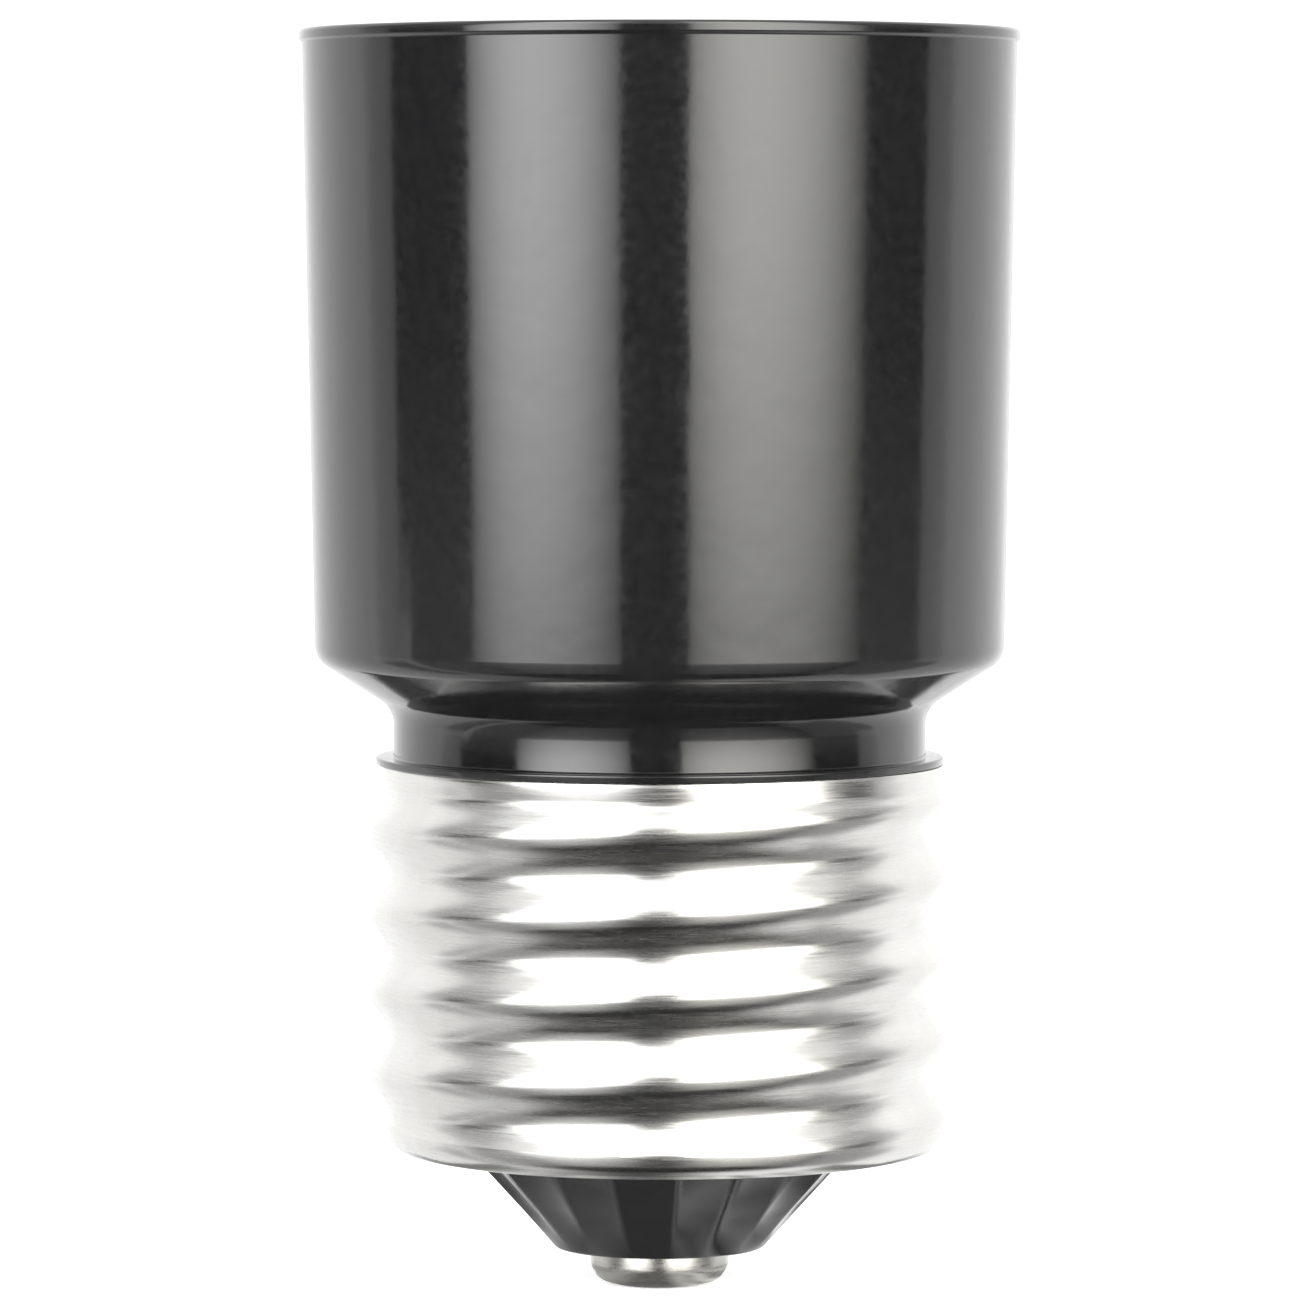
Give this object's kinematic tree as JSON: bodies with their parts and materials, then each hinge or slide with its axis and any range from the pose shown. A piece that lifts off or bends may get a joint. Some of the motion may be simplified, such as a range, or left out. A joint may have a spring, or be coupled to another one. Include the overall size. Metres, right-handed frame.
{
  "type": "lamp socket adapter",
  "caption": "Screw lamp socket adapter: a black moulded cup with a threaded socket inside, on a plated screw base with a bottom contact.",
  "frame": {"origin": "tip of the bottom contact, on the lamp axis; it is the lowest point of the part and the middle of its footprint", "axes": "+Z along the lamp axis from the screw base up to the socket's mouth, -Y is the front as pictured, +X to its right"},
  "size_m": [0.0322, 0.0322, 0.0564],
  "materials": {
    "black_moulding": "glossy black moulding",
    "nickel_plate": "bright nickel plate on rolled brass sheet",
    "spring_steel": "drawn spring wire",
    "brass": "turned and stamped brass",
    "fibre": "red-brown vulcanised fibre",
    "bright_aluminium": "bright rolled aluminium sheet",
    "zinc_screw": "zinc plated steel"
  },
  "bodies": {
    "adapter": {"housing": "black_moulding", "base_shell": "nickel_plate", "tip_contact": "nickel_plate", "contact_spring": "spring_steel", "insulator_disc": "fibre", "socket_shell": "bright_aluminium", "shell_screws": "zinc_screw", "side_conductor": "brass"},
    "centre_contact": {"contact_plunger": "brass"}
  },
  "joints": [
    {"name": "centre_contact_press", "type": "slide", "parent": "adapter", "child": "centre_contact", "axis": [0, 0, -1], "range_m": [0, 0.002], "stiffness_N_per_m": 900, "springref_m": -0.001, "deforming": ["contact_spring"]}
  ]
}
